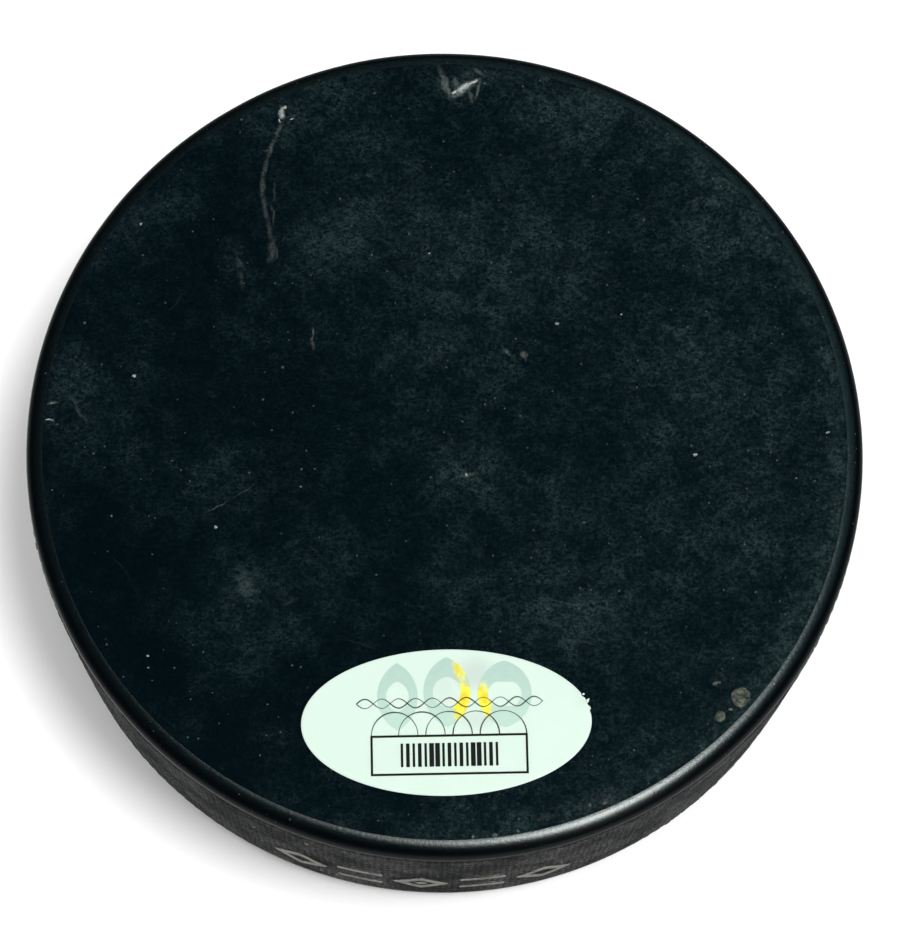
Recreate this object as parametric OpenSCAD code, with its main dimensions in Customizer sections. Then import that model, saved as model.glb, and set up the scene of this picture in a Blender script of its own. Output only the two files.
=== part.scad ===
// Ice hockey puck with an oval foil label on its upper face.
// Millimetres, +Z up. The origin is the middle of the lower flat face.
// The label and the row of moulded marks are on the -Y side.

/* [Puck] */
// Diameter over the two smooth lands of the side wall
puck_d = 76.2; // [70:0.1:80]
// Thickness between the two flat faces
puck_h = 25.4; // [20:0.1:30]
// Radius of the rounded shoulder between each face and the side wall
shoulder_r = 1.6; // [0.8:0.1:3]
// Height of the smooth land next to each shoulder
land_h = 1; // [0.5:0.1:2]
// Depth of the textured grip band below the lands
band_depth = 0.25; // [0.1:0.05:0.4]

/* [Moulded marks] */
// Number of raised marks in the row
mark_count = 5; // [1:2:9]
// Height of each mark
mark_h = 6.5; // [4:0.5:9]
// Width of each mark around the wall
mark_w = 5.4; // [3:0.1:6]
// Width of a raised stroke
mark_stroke = 1; // [0.6:0.1:1.2]
// Angle from one mark to the next
mark_pitch = 8.5; // [8.4:0.1:9.5]
// Height of the middle of the row above the lower face
mark_z = 10.2; // [9:0.1:13]
// Direction of the middle of the row, from +X
mark_dir = -89.5; // [-180:0.5:180]

/* [Label] */
// Long axis of the oval
label_w = 25.7; // [24:0.1:27]
// Short axis of the oval
label_h = 13.1; // [12.6:0.1:13.6]
// Distance of the middle of the oval from the puck's axis, towards -Y
label_y = 26; // [20:0.1:27]
// Sideways shift of the middle of the oval, towards +X
label_x = 1.7; // [-3:0.1:3]
// Turn of the long axis from +X
label_tilt = 4.8; // [-10:0.1:10]
// Thickness of the adhesive coat
adhesive_t = 0.04; // [0.03:0.01:0.06]
// Thickness of the film
film_t = 0.1; // [0.06:0.01:0.15]
// Thickness of the foil motifs
foil_t = 0.02; // [0.01:0.01:0.03]
// Thickness of the printed ink where it lies on the film
ink_t = 0.04; // [0.04:0.01:0.06]

/* [Label print] */
// Width of the framed panel
panel_w = 13.9; // [12:0.1:14]
// Height of the framed panel
panel_h = 3.6; // [3:0.1:4]
// Line width of the frame
panel_line = 0.17; // [0.12:0.01:0.25]
// Number of bars in the code strip
bar_count = 17; // [9:2:21]
// Line width of the arches and waves
fine_line = 0.1; // [0.08:0.01:0.15]

/* [Hidden] */
$fn = 96;
R = puck_d / 2;
Rb = R - band_depth;
label_z = puck_h;
film_z = label_z + adhesive_t;
face_z = film_z + film_t;
panel_v = -2.9;
panel_top = panel_v + panel_h / 2;
arch_r = 2.05;
wave_w = 1.5;
wave_h = 0.42;
wave_r = (wave_w * wave_w / 4 + wave_h * wave_h) / (2 * wave_h);
leaf_v = 2.35;

// ---- rubber body ------------------------------------------------------------

// Half section: flat faces, round shoulders, two lands and the grip band.
module half_section() {
    difference() {
        union() {
            square([R - shoulder_r, puck_h]);
            translate([0, shoulder_r]) square([R, puck_h - 2 * shoulder_r]);
            translate([R - shoulder_r, shoulder_r]) circle(shoulder_r);
            translate([R - shoulder_r, puck_h - shoulder_r]) circle(shoulder_r);
        }
        translate([-R, -1]) square([R, puck_h + 2]);
        // the band, with a 45 degree edge at each land
        polygon([
            [R + 1, shoulder_r + land_h - 1],
            [Rb, shoulder_r + land_h + band_depth],
            [Rb, puck_h - shoulder_r - land_h - band_depth],
            [R + 1, puck_h - shoulder_r - land_h + 1]
        ]);
    }
}

// Outline diamond, x around the wall and y up.
module diamond(w, h, s) {
    k = sqrt(w * w + h * h) / (w * h) * s;
    difference() {
        polygon([[-w / 2, 0], [0, -h / 2], [w / 2, 0], [0, h / 2]]);
        polygon([
            [-w / 2 * (1 - 2 * k), 0], [0, -h / 2 * (1 - 2 * k)],
            [w / 2 * (1 - 2 * k), 0], [0, h / 2 * (1 - 2 * k)]
        ]);
    }
}

// Two level bars.
module pair(w, h, s) {
    for (e = [-1, 1]) translate([0, e * (h / 2 - s)]) square([w * 0.8, s], center = true);
}

// Diamond round a small lozenge.
module eye(w, h, s) {
    diamond(w, h, s);
    polygon([[-s * 0.7, 0], [0, -s * 0.85], [s * 0.7, 0], [0, s * 0.85]]);
}

// One raised mark; the row runs diamond, bars, eye, bars, diamond.
module mark(i) {
    k = abs(i - (mark_count - 1) / 2);
    rotate([0, 0, mark_dir + (i - (mark_count - 1) / 2) * mark_pitch])
        translate([Rb - 1, 0, mark_z])
            rotate([90, 0, 90])
                linear_extrude(2)
                    if (k == 0) eye(mark_w, mark_h, mark_stroke);
                    else if (k % 2 == 1) pair(mark_w, mark_h, mark_stroke);
                    else diamond(mark_w, mark_h, mark_stroke);
}

module puck_body() {
    color([0.07, 0.10, 0.11]) {
        rotate_extrude() half_section();
        intersection() {
            for (i = [0 : mark_count - 1]) mark(i);
            translate([0, 0, 1]) cylinder(h = puck_h - 2, r = R);
        }
    }
}

// ---- oval label -------------------------------------------------------------

// Children are drawn flat in the label's own axes and given a thickness.
module on_label(z, t) {
    translate([label_x, -label_y, z]) rotate([0, 0, label_tilt]) linear_extrude(t) children();
}

module oval(inset = 0) {
    a = label_w / 2 - inset;
    b = label_h / 2 - inset;
    polygon([for (i = [0 : 119]) [a * cos(3 * i), b * sin(3 * i)]]);
}

// Pointed leaf: the overlap of two circles.
module leaf(w, h) {
    r = (w * w + h * h) / (4 * w);
    intersection() {
        translate([r - w / 2, 0]) circle(r);
        translate([w / 2 - r, 0]) circle(r);
    }
}

module leaf_ring(w, h, s) {
    difference() {
        leaf(w, h);
        leaf(w - 2 * s, h - 4.2 * s);
    }
}

module foil_shape() {
    translate([-4.3, leaf_v]) leaf_ring(3.6, 6.1, 0.8);
    translate([0.1, leaf_v + 0.35]) leaf_ring(4.2, 6.3, 0.85);
    translate([5.2, leaf_v + 0.1]) leaf_ring(4.8, 6, 0.9);
}

module ring_line(r, s) {
    difference() {
        circle(r + s / 2);
        circle(r - s / 2);
    }
}

// Interlaced arches that stand on the framed panel.
module arches() {
    intersection() {
        for (i = [-2 : 2]) translate([0.2 + i * 2.4, panel_top]) ring_line(arch_r, fine_line);
        translate([-8, panel_top]) square([16, 4]);
    }
}

// A wave of shallow arcs, up and down in turn.
module wave(phase, n) {
    for (i = [0 : n - 1]) {
        e = (i + phase) % 2 == 0 ? 1 : -1;
        translate([(i - (n - 1) / 2) * wave_w, 0])
            intersection() {
                translate([0, -e * (wave_r - wave_h)]) ring_line(wave_r, fine_line);
                translate([-wave_w / 2, e > 0 ? 0 : -1]) square([wave_w, 1]);
            }
    }
}

// Bars of 1 to 3 units with gaps, widths by a plain rule.
module code_strip() {
    pitch = 8.9 / bar_count;
    for (i = [0 : bar_count - 1])
        translate([(i - (bar_count - 1) / 2) * pitch, 0])
            square([pitch * (0.28 + 0.18 * ((i * i + 3 * i) % 7 % 3)), 2.1], center = true);
}

module print_shape() {
    translate([0.2, panel_v]) {
        difference() {
            square([panel_w, panel_h], center = true);
            square([panel_w - 2 * panel_line, panel_h - 2 * panel_line], center = true);
        }
        code_strip();
    }
    arches();
    translate([0.3, 1.75]) {
        wave(0, 11);
        wave(1, 11);
    }
}

module label_adhesive() {
    color([0.82, 0.83, 0.78]) on_label(label_z, adhesive_t) oval(0.05);
}

module label_film() {
    color([0.88, 0.96, 0.91]) on_label(film_z, film_t) oval();
}

module label_foil() {
    color([0.70, 0.85, 0.79]) on_label(face_z, foil_t) foil_shape();
}

// The ink lies on the film and runs over the foil.
module label_print() {
    color([0.09, 0.09, 0.10]) difference() {
        on_label(face_z, ink_t) print_shape();
        on_label(face_z - 1, 1 + foil_t) foil_shape();
    }
}

puck_body();
label_adhesive();
label_film();
label_foil();
label_print();
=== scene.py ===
import math

import bmesh
import bpy
import numpy as np
from mathutils import Matrix, Vector
from mathutils.geometry import tessellate_polygon


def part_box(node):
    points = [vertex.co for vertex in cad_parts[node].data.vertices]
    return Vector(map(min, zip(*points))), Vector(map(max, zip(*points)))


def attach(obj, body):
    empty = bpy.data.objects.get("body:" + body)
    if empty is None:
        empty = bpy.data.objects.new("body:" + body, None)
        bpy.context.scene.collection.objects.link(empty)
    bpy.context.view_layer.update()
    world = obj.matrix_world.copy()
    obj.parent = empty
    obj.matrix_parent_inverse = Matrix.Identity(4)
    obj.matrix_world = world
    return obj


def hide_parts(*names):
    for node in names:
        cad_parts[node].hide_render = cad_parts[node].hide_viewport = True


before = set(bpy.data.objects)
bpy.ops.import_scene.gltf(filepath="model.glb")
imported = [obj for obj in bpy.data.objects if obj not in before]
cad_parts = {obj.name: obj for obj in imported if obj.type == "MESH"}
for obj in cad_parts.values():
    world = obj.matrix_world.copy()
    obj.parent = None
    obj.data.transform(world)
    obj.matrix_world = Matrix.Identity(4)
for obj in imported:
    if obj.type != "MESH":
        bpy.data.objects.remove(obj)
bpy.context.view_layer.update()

MM = 0.001
body_lo, body_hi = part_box("puck_body")
film_lo, film_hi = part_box("label_film")
R = (body_hi.x - body_lo.x) / 2 / MM        # 38.1 mm, over the lands
T = body_hi.z / MM                          # 25.4 mm
FACE_Z = film_hi.z / MM                     # top of the label film
FILM_Z = film_lo.z / MM                     # underside of the label film
LABEL = ((film_lo.x + film_hi.x) / 2 / MM, (film_lo.y + film_hi.y) / 2 / MM)
TILT = math.radians(4.8)
rng = np.random.default_rng(84)


# ---------------------------------------------------------------- camera
def make_camera():
    f_px, elev, roll, dist, ax, ay = 3022.258, math.radians(74.869), math.radians(3.677), 273.939, 0.663, -2.808
    back = Vector((0, -math.cos(elev), math.sin(elev)))
    right0, up0 = Vector((1, 0, 0)), Vector((0, math.sin(elev), math.cos(elev)))
    place = Vector((0, 0, T)) + right0 * ax + up0 * ay + back * dist
    right = right0 * math.cos(roll) + up0 * math.sin(roll)
    up = -right0 * math.sin(roll) + up0 * math.cos(roll)
    data = bpy.data.cameras.new("camera")
    cam = bpy.data.objects.new("camera", data)
    bpy.context.scene.collection.objects.link(cam)
    m = Matrix((right, up, back)).transposed().to_4x4()
    m.translation = place * MM
    cam.matrix_world = m
    data.sensor_width = 36.0
    data.sensor_fit = "AUTO"
    data.lens = f_px / 940.0 * 36.0
    data.clip_start, data.clip_end = 0.01, 20.0
    bpy.context.scene.camera = cam


make_camera()


# ---------------------------------------------------------------- node helpers
class Nodes:
    """Small helper for building a node tree from sockets and numbers."""

    def __init__(self, tree):
        self.t = tree
        self.t.nodes.clear()

    def add(self, kind, **props):
        n = self.t.nodes.new(kind)
        for k, v in props.items():
            setattr(n, k, v)
        return n

    def put(self, socket, value):
        if isinstance(value, bpy.types.NodeSocket):
            self.t.links.new(value, socket)
        elif isinstance(value, (tuple, list, Vector)):
            value = tuple(value)
            if len(socket.default_value) == 4 and len(value) == 3:
                value = value + (1.0,)
            socket.default_value = value
        else:
            socket.default_value = value

    def m(self, op, a, b=None, c=None, clamp=False):
        n = self.add("ShaderNodeMath", operation=op, use_clamp=clamp)
        self.put(n.inputs[0], a)
        if b is not None:
            self.put(n.inputs[1], b)
        if c is not None:
            self.put(n.inputs[2], c)
        return n.outputs[0]

    def v(self, op, a, b=None, scale=None):
        n = self.add("ShaderNodeVectorMath", operation=op)
        self.put(n.inputs[0], a)
        if b is not None:
            self.put(n.inputs[1], b)
        if scale is not None:
            self.put(n.inputs["Scale"], scale)
        return n.outputs["Value"] if op in ("LENGTH", "DOT_PRODUCT", "DISTANCE") else n.outputs["Vector"]

    def mix(self, fac, a, b):
        n = self.add("ShaderNodeMix", data_type="FLOAT", clamp_factor=True)
        self.put(n.inputs[0], fac)
        self.put(n.inputs[2], a)
        self.put(n.inputs[3], b)
        return n.outputs[0]

    def col(self, fac, a, b, blend="MIX"):
        n = self.add("ShaderNodeMix", data_type="RGBA", blend_type=blend, clamp_factor=True)
        self.put(n.inputs[0], fac)
        self.put(n.inputs[6], a)
        self.put(n.inputs[7], b)
        return n.outputs[2]

    def step(self, v, a, b, lo=0.0, hi=1.0):
        n = self.add("ShaderNodeMapRange", interpolation_type="SMOOTHSTEP", clamp=True)
        self.put(n.inputs[0], v)
        self.put(n.inputs[1], a)
        self.put(n.inputs[2], b)
        self.put(n.inputs[3], lo)
        self.put(n.inputs[4], hi)
        return n.outputs[0]

    def noise(self, vec, scale, detail=2.0, rough=0.5, distort=0.0, dims="3D"):
        n = self.add("ShaderNodeTexNoise", noise_dimensions=dims)
        self.put(n.inputs["Vector"], vec)
        n.inputs["Scale"].default_value = scale
        n.inputs["Detail"].default_value = detail
        n.inputs["Roughness"].default_value = rough
        n.inputs["Distortion"].default_value = distort
        return n.outputs["Fac"]

    def cells(self, vec, scale, jitter=1.0, dims="3D"):
        n = self.add("ShaderNodeTexVoronoi", voronoi_dimensions=dims, feature="F1")
        self.put(n.inputs["Vector"], vec)
        n.inputs["Scale"].default_value = scale
        n.inputs["Randomness"].default_value = jitter
        return n.outputs["Distance"], n.outputs["Color"]

    def place(self, vec, loc=(0, 0, 0), rot=(0, 0, 0), scale=(1, 1, 1), kind="TEXTURE"):
        """TEXTURE moves, then turns, then divides by scale: a pattern stretched along a turned axis."""
        n = self.add("ShaderNodeMapping", vector_type=kind)
        self.put(n.inputs["Vector"], vec)
        n.inputs["Location"].default_value = loc
        n.inputs["Rotation"].default_value = rot
        n.inputs["Scale"].default_value = scale
        return n.outputs["Vector"]

    def xyz(self, vec):
        n = self.add("ShaderNodeSeparateXYZ")
        self.put(n.inputs[0], vec)
        return n.outputs[0], n.outputs[1], n.outputs[2]

    def join(self, x, y, z=0.0):
        n = self.add("ShaderNodeCombineXYZ")
        for s, v in zip(n.inputs, (x, y, z)):
            self.put(s, v)
        return n.outputs[0]

    def bump(self, height, distance, strength=1.0, normal=None):
        n = self.add("ShaderNodeBump")
        n.inputs["Strength"].default_value = strength
        n.inputs["Distance"].default_value = distance
        self.put(n.inputs["Height"], height)
        if normal is not None:
            self.put(n.inputs["Normal"], normal)
        return n.outputs[0]

    def mm(self):
        """Object coordinates in millimetres."""
        n = self.add("ShaderNodeTexCoord")
        return self.v("SCALE", n.outputs["Object"], scale=1000.0)

    def total(self, values):
        out = values[0]
        for v in values[1:]:
            out = self.m("ADD", out, v)
        return out

    def most(self, values):
        out = values[0]
        for v in values[1:]:
            out = self.m("MAXIMUM", out, v)
        return out


def material(name):
    mat = bpy.data.materials.new(name)
    mat.use_nodes = True
    n = Nodes(mat.node_tree)
    bsdf = n.add("ShaderNodeBsdfPrincipled")
    out = n.add("ShaderNodeOutputMaterial")
    n.t.links.new(bsdf.outputs[0], out.inputs[0])
    return mat, n, bsdf


# ---------------------------------------------------------------- mesh helpers
def mesh_object(name, verts, faces, mats=(), slots=None, smooth=True, closed=True):
    me = bpy.data.meshes.new(name)
    me.from_pydata([tuple(v) for v in np.asarray(verts, float) * MM], [], [tuple(int(i) for i in f) for f in faces])
    for m in mats:
        me.materials.append(m)
    if slots is not None:
        me.polygons.foreach_set("material_index", np.asarray(slots, np.int32))
    me.polygons.foreach_set("use_smooth", np.full(len(me.polygons), bool(smooth)))
    me.update()
    if closed:
        # every face of a closed piece points outward
        bm = bmesh.new()
        bm.from_mesh(me)
        bmesh.ops.recalc_face_normals(bm, faces=bm.faces)
        bm.to_mesh(me)
        bm.free()
        me.update()
    o = bpy.data.objects.new(name, me)
    bpy.context.scene.collection.objects.link(o)
    return o


def value_noise(seed):
    """Smooth repeatable 3-D noise in -1..1 made of a few sine waves, for small shape changes."""
    g = np.random.default_rng(seed)
    k = g.normal(size=(9, 3))
    k /= np.linalg.norm(k, axis=1)[:, None]
    s = g.uniform(0.7, 1.9, 9)
    ph = g.uniform(0, 6.28, 9)

    def f(x, y, z, scale):
        t = 0
        for i in range(9):
            t = t + np.sin((x * k[i, 0] + y * k[i, 1] + z * k[i, 2]) * scale * s[i] + ph[i])
        return t / 9 * 1.6

    return f


# ---------------------------------------------------------------- rubber body
NA = 400                   # columns round the puck, two to a diamond
SH = 1.6                   # shoulder radius
R_FACE = R - SH
CREST, FLANK, ROOT = R + 0.10, R - 0.02, R - 0.27
ROWS = 32                  # half rows of diamonds
BAND_LO, BAND_HI = 2.70, 22.70
DZ = (BAND_HI - BAND_LO) / ROWS
ANG = np.arange(NA) * 2 * math.pi / NA
M_SHOULDER, M_LAND, M_KNURL, M_MARK, M_UNDER, M_FACE = range(6)     # M_FACE and up are the parts of the upper face
wob = value_noise(5)
wob2 = value_noise(9)


def label_uv(x, y):
    """Position in the label's own axes."""
    dx, dy = x - LABEL[0], y - LABEL[1]
    c, s = math.cos(TILT), math.sin(TILT)
    return dx * c + dy * s, -dx * s + dy * c


def build_body(mats):
    verts, faces, slots = [], [], []

    def ring(r, z):
        """A ring of NA points; r and z are numbers or arrays."""
        base = sum(len(v) for v in verts)
        r = np.broadcast_to(r, NA)
        z = np.broadcast_to(z, NA)
        verts.append(np.stack([r * np.cos(ANG), r * np.sin(ANG), z], 1))
        return base

    def skin(a, b, slot, upward=True):
        """Quads between ring a and the next ring b."""
        i = np.arange(NA)
        j = (i + 1) % NA
        q = np.stack([a + i, a + j, b + j, b + i], 1)
        if not upward:
            q = q[:, ::-1]
        faces.extend(q.tolist())
        slots.extend([slot] * NA)

    def hub(z, ring_at, slot, up):
        base = sum(len(v) for v in verts)
        verts.append(np.array([[0.0, 0.0, z]]))
        for i in range(NA):
            j = (i + 1) % NA
            faces.append([ring_at + i, ring_at + j, base] if up else [ring_at + j, ring_at + i, base])
            slots.append(slot)

    c, s = np.cos(ANG), np.sin(ANG)
    # lower face, worn and very slightly uneven, never below its own plane
    low = [0.9, 4, 9, 15, 21, 26, 30, 33.5, 35.6, R_FACE]
    prev = None
    for r in low:
        dz = 0.012 * (1 + wob(r * c, r * s, 50, 0.22)) * (1 if r < 35 else 0.2)
        now = ring(r, dz)
        if prev is None:
            hub(0.012, now, M_UNDER, up=False)
        else:
            skin(prev, now, M_UNDER, upward=False)
        prev = now
    # lower shoulder
    for k in range(1, 9):
        a = math.radians(90 * k / 8)
        dr = 0.016 * wob2(38 * c, 38 * s, 5 + k * 0.3, 0.9) * math.sin(2 * a)
        now = ring(R_FACE + SH * math.sin(a) + dr, SH - SH * math.cos(a))
        skin(prev, now, M_SHOULDER, upward=False)
        prev = now
    # lower land, with the moulding's flash line rounded off
    for z, r in ((2.05, R), (2.42, R), (2.55, R - 0.03)):
        now = ring(r, z)
        skin(prev, now, M_LAND, upward=False)
        prev = now

    # grip band: flat-topped diamonds, two columns wide and two half rows high
    nodes = {}
    base = sum(len(v) for v in verts)
    pts = []

    def point(i, jf, r):
        a = (i % NA) * 2 * math.pi / NA
        z = BAND_LO + jf * DZ
        pts.append((r * math.cos(a), r * math.sin(a), z))
        return base + len(pts) - 1

    def node(i, j):
        i %= NA
        if (i, j) not in nodes:
            edge = 0.12 if j in (0, ROWS) else 0.0
            nodes[(i, j)] = point(i, j, ROOT + edge + 0.035 * float(wob(i * 0.9, j * 1.3, 4, 1.0)))
        return nodes[(i, j)]

    S1, S2 = 0.46, 0.74
    for j in range(ROWS + 1):
        for i in range(NA):
            if (i + j) % 2:
                continue
            a = i * 2 * math.pi / NA
            x, y, z = R * math.cos(a), R * math.sin(a), BAND_LO + j * DZ
            wear = 0.035 * float(wob2(x, y, z, 0.35)) + rng.normal(0, 0.012)
            crest = min(CREST + wear, R + 0.17)
            flank = min(FLANK + wear * 0.7, crest - 0.03)
            s1 = S1 + rng.uniform(-0.05, 0.05)
            s2 = S2 + rng.uniform(-0.03, 0.03)
            if 0 < j < ROWS:
                outer = [node(i + 1, j), node(i, j + 1), node(i - 1, j), node(i, j - 1)]
                mid = [point(i + s2, j, flank), point(i, j + s2, flank), point(i - s2, j, flank), point(i, j - s2, flank)]
                top = [point(i + s1, j, crest), point(i, j + s1, crest), point(i - s1, j, crest), point(i, j - s1, crest)]
                faces.append(top)
                slots.append(M_KNURL)
                for q in range(4):
                    w = (q + 1) % 4
                    faces.append([mid[q], mid[w], top[w], top[q]])
                    faces.append([outer[q], outer[w], mid[w], mid[q]])
                    slots.extend([M_KNURL] * 2)
            else:
                e = 1 if j == 0 else -1
                outer = [node(i + 1, j), node(i, j + e), node(i - 1, j)]
                mid = [point(i + s2, j, flank), point(i, j + e * s2, flank), point(i - s2, j, flank)]
                top = [point(i + s1, j, crest), point(i, j + e * s1, crest), point(i - s1, j, crest)]
                new = [top]
                for q in range(2):
                    new.append([mid[q], mid[q + 1], top[q + 1], top[q]])
                    new.append([outer[q], outer[q + 1], mid[q + 1], mid[q]])
                nodes[("edge", i, j)] = (outer[0], mid[0], top[0], top[2], mid[2], outer[2])
                for f in new:
                    faces.append(f if e > 0 else f[::-1])
                    slots.append(M_KNURL)
    verts.append(np.array(pts))

    def stitch(ring_at, j, up):
        """Faces between a plain ring and the cut row of diamonds next to it."""
        for i in range(j % 2, NA, 2):
            o0, m0, t0, t2, m2, o2 = nodes[("edge", i, j)]
            l0, l1, l2 = ring_at + (i - 1) % NA, ring_at + i, ring_at + (i + 1) % NA
            new = [[l0, l1, m2, o2], [l1, t2, m2], [l1, t0, t2], [l1, m0, t0], [l1, l2, o0, m0]]
            for f in new:
                faces.append(f if up else f[::-1])
                slots.append(M_KNURL)

    stitch(prev, 0, True)
    prev = ring(R - 0.03, BAND_HI + 0.15)
    stitch(prev, ROWS, False)
    for z, r in ((BAND_HI + 0.28, R), (T - SH - 0.35, R), (T - SH, R)):
        now = ring(r, z)
        skin(prev, now, M_LAND)
        prev = now
    # upper shoulder
    for k in range(1, 13):
        a = math.radians(90 - 90 * k / 12)
        dr = 0.016 * wob2(38 * c, 38 * s, 25 + k * 0.3, 0.9) * math.sin(2 * a)
        rr = R_FACE + SH * math.sin(a) + dr
        zz = T - SH + SH * math.cos(a)
        now = ring(rr, zz)
        skin(prev, now, M_SHOULDER)
        prev = now
    # upper face, flat under the label
    top = [36.2, 35.7, 35.0, 34.2] + list(np.linspace(33.2, 0.9, 30))
    for r in top:
        x, y = r * c, r * s
        u, v = label_uv(x, y)
        far = np.clip((np.hypot(u / 14.2, v / 7.9) - 1) * 3, 0, 1)
        dip = np.clip((36.3 - r) / 2.0, 0, 1)
        z = T - 0.014 * (1 + wob(x, y, 9, 0.20)) * far * dip
        now = ring(r, z)
        skin(prev, now, M_FACE)
        prev = now
    hub(T - 0.014, prev, M_FACE, up=True)
    verts = np.concatenate(verts)
    for k, slot in enumerate(slots):
        if slot == M_FACE:
            c = verts[faces[k]].mean(0)
            reach = max(math.dist(c[:2], verts[i][:2]) for i in faces[k])
            slots[k] = M_FACE + face_part(c[0], c[1], reach)
    return mesh_object("puck_rubber", verts, faces, mats, slots)


# ---------------------------------------------------------------- raised marks
def prism_on_wall(outline, theta, z0, r_in, r_top, bevel, verts, faces, slots):
    """A raised shape on the side wall: outline points (along the wall, up), counter-clockwise seen from outside.
    The top is inset by bevel and bows with the wall; returns nothing, adds to verts and faces."""
    pts = np.array(outline, float)
    n = len(pts)
    # inset by moving each point along its two edge normals
    prevp, nextp = np.roll(pts, 1, 0), np.roll(pts, -1, 0)

    def normal(a, b):
        d = b - a
        d = d / np.linalg.norm(d, axis=1)[:, None]
        return np.stack([-d[:, 1], d[:, 0]], 1)

    n1, n2 = normal(prevp, pts), normal(pts, nextp)
    m = n1 + n2
    m = m / np.maximum((m * n1).sum(1), 0.35)[:, None]
    m = m / 1.0
    levels = [(0.0, r_in), (0.0, r_top - bevel * 1.05), (0.32 * bevel, r_top - 0.42 * bevel),
              (0.75 * bevel, r_top - 0.09 * bevel), (1.25 * bevel, r_top)]
    rings = []
    for inset, r in levels:
        q = pts + m * inset
        a = theta + q[:, 0] / R
        b = len(verts)
        verts.extend(zip(r * np.cos(a), r * np.sin(a), z0 + q[:, 1]))
        rings.append(list(range(b, b + n)))
    for k, (lo, hi) in enumerate(zip(rings, rings[1:])):
        for i in range(n):
            j = (i + 1) % n
            faces.append([lo[i], lo[j], hi[j], hi[i]])
            slots.append(1 if k >= 2 else 0)
    return rings, pts, pts + m * levels[-1][0]


def cap(rings_and_shapes, verts, faces, slots):
    """Closes the outer and inner ends of a raised shape that may have a hole."""
    outer_loops = [[Vector((p[0], p[1], 0)) for p in shape[2]] for shape in rings_and_shapes]
    index = [i for shape in rings_and_shapes for i in shape[0][-1]]
    for t in tessellate_polygon(outer_loops):
        f = [index[i] for i in t]
        faces.append(orient_out(f, verts))
        slots.append(1)
    inner_loops = [[Vector((p[0], p[1], 0)) for p in shape[1]] for shape in rings_and_shapes]
    index = [i for shape in rings_and_shapes for i in shape[0][0]]
    for t in tessellate_polygon(inner_loops):
        f = [index[i] for i in t]
        faces.append(orient_out(f, verts)[::-1])
        slots.append(0)


def orient_out(f, verts):
    a, b, c = (np.array(verts[i]) for i in f)
    n = np.cross(b - a, c - a)
    mid = (a + b + c) / 3
    return f if n[0] * mid[0] + n[1] * mid[1] > 0 else f[::-1]


def finely(points, step=0.45):
    """Splits the sides of a polygon so that it bends smoothly with the wall."""
    out = []
    for a, b in zip(points, points[1:] + points[:1]):
        k = max(1, int(math.ceil(math.dist(a, b) / step)))
        out += [(a[0] + (b[0] - a[0]) * i / k, a[1] + (b[1] - a[1]) * i / k) for i in range(k)]
    return out


def rounded(points, r, n=4):
    """Polygon with rounded corners."""
    out = []
    m = len(points)
    for k in range(m):
        p0, p, p1 = (np.array(points[(k + d) % m], float) for d in (-1, 0, 1))
        d0, d1 = (p0 - p) / np.linalg.norm(p0 - p), (p1 - p) / np.linalg.norm(p1 - p)
        half = math.acos(max(-1, min(1, float(d0 @ d1)))) / 2
        t = min(r / math.tan(half), 0.45 * min(np.linalg.norm(p0 - p), np.linalg.norm(p1 - p)))
        rr = t * math.tan(half)
        centre = p + (d0 + d1) / np.linalg.norm(d0 + d1) * (rr / math.sin(half))
        a0 = math.atan2(*(p + d0 * t - centre)[::-1])
        a1 = math.atan2(*(p + d1 * t - centre)[::-1])
        da = (a1 - a0 + math.pi) % (2 * math.pi) - math.pi
        out += [tuple(centre + rr * np.array([math.cos(a0 + da * i / n), math.sin(a0 + da * i / n)])) for i in range(n + 1)]
    return out


def build_marks(mats):
    w, h, st = 5.4, 6.5, 1.0
    z0, mid, pitch = 10.2, math.radians(-89.5), math.radians(8.5)
    r_in, r_top, bevel = R - 0.75, R + 0.28, 0.14
    out = []
    for i in range(5):
        verts, faces, slots = [], [], []
        th = mid + (i - 2) * pitch

        def wall(outline, depth=bevel):
            return prism_on_wall(outline, th, z0, r_in, r_top, depth, verts, faces, slots)

        if i in (0, 2, 4):
            k = math.hypot(w, h) / (w * h) * st
            outer = rounded([(-w / 2, 0), (0, -h / 2), (w / 2, 0), (0, h / 2)], 0.35)
            s = 1 - 2 * k
            inner = rounded([(-w / 2 * s, 0), (0, -h / 2 * s), (w / 2 * s, 0), (0, h / 2 * s)], 0.2)
            # the hole runs the other way round, so its walls face into the hole
            cap([wall(finely(outer)), wall(finely(inner)[::-1])], verts, faces, slots)
            if i == 2:
                e = rounded([(-0.7, 0), (0, -0.85), (0.7, 0), (0, 0.85)], 0.15)
                cap([wall(finely(e, 0.3), 0.12)], verts, faces, slots)
        else:
            for sgn in (-1, 1):
                y = sgn * (h / 2 - st)
                bar = rounded([(-w * 0.4, y - st / 2), (w * 0.4, y - st / 2), (w * 0.4, y + st / 2), (-w * 0.4, y + st / 2)], 0.35)
                cap([wall(finely(bar))], verts, faces, slots)
        out.append(mesh_object(f"raised_mark_{i + 1}", verts, faces, mats, slots))
    return out


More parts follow.
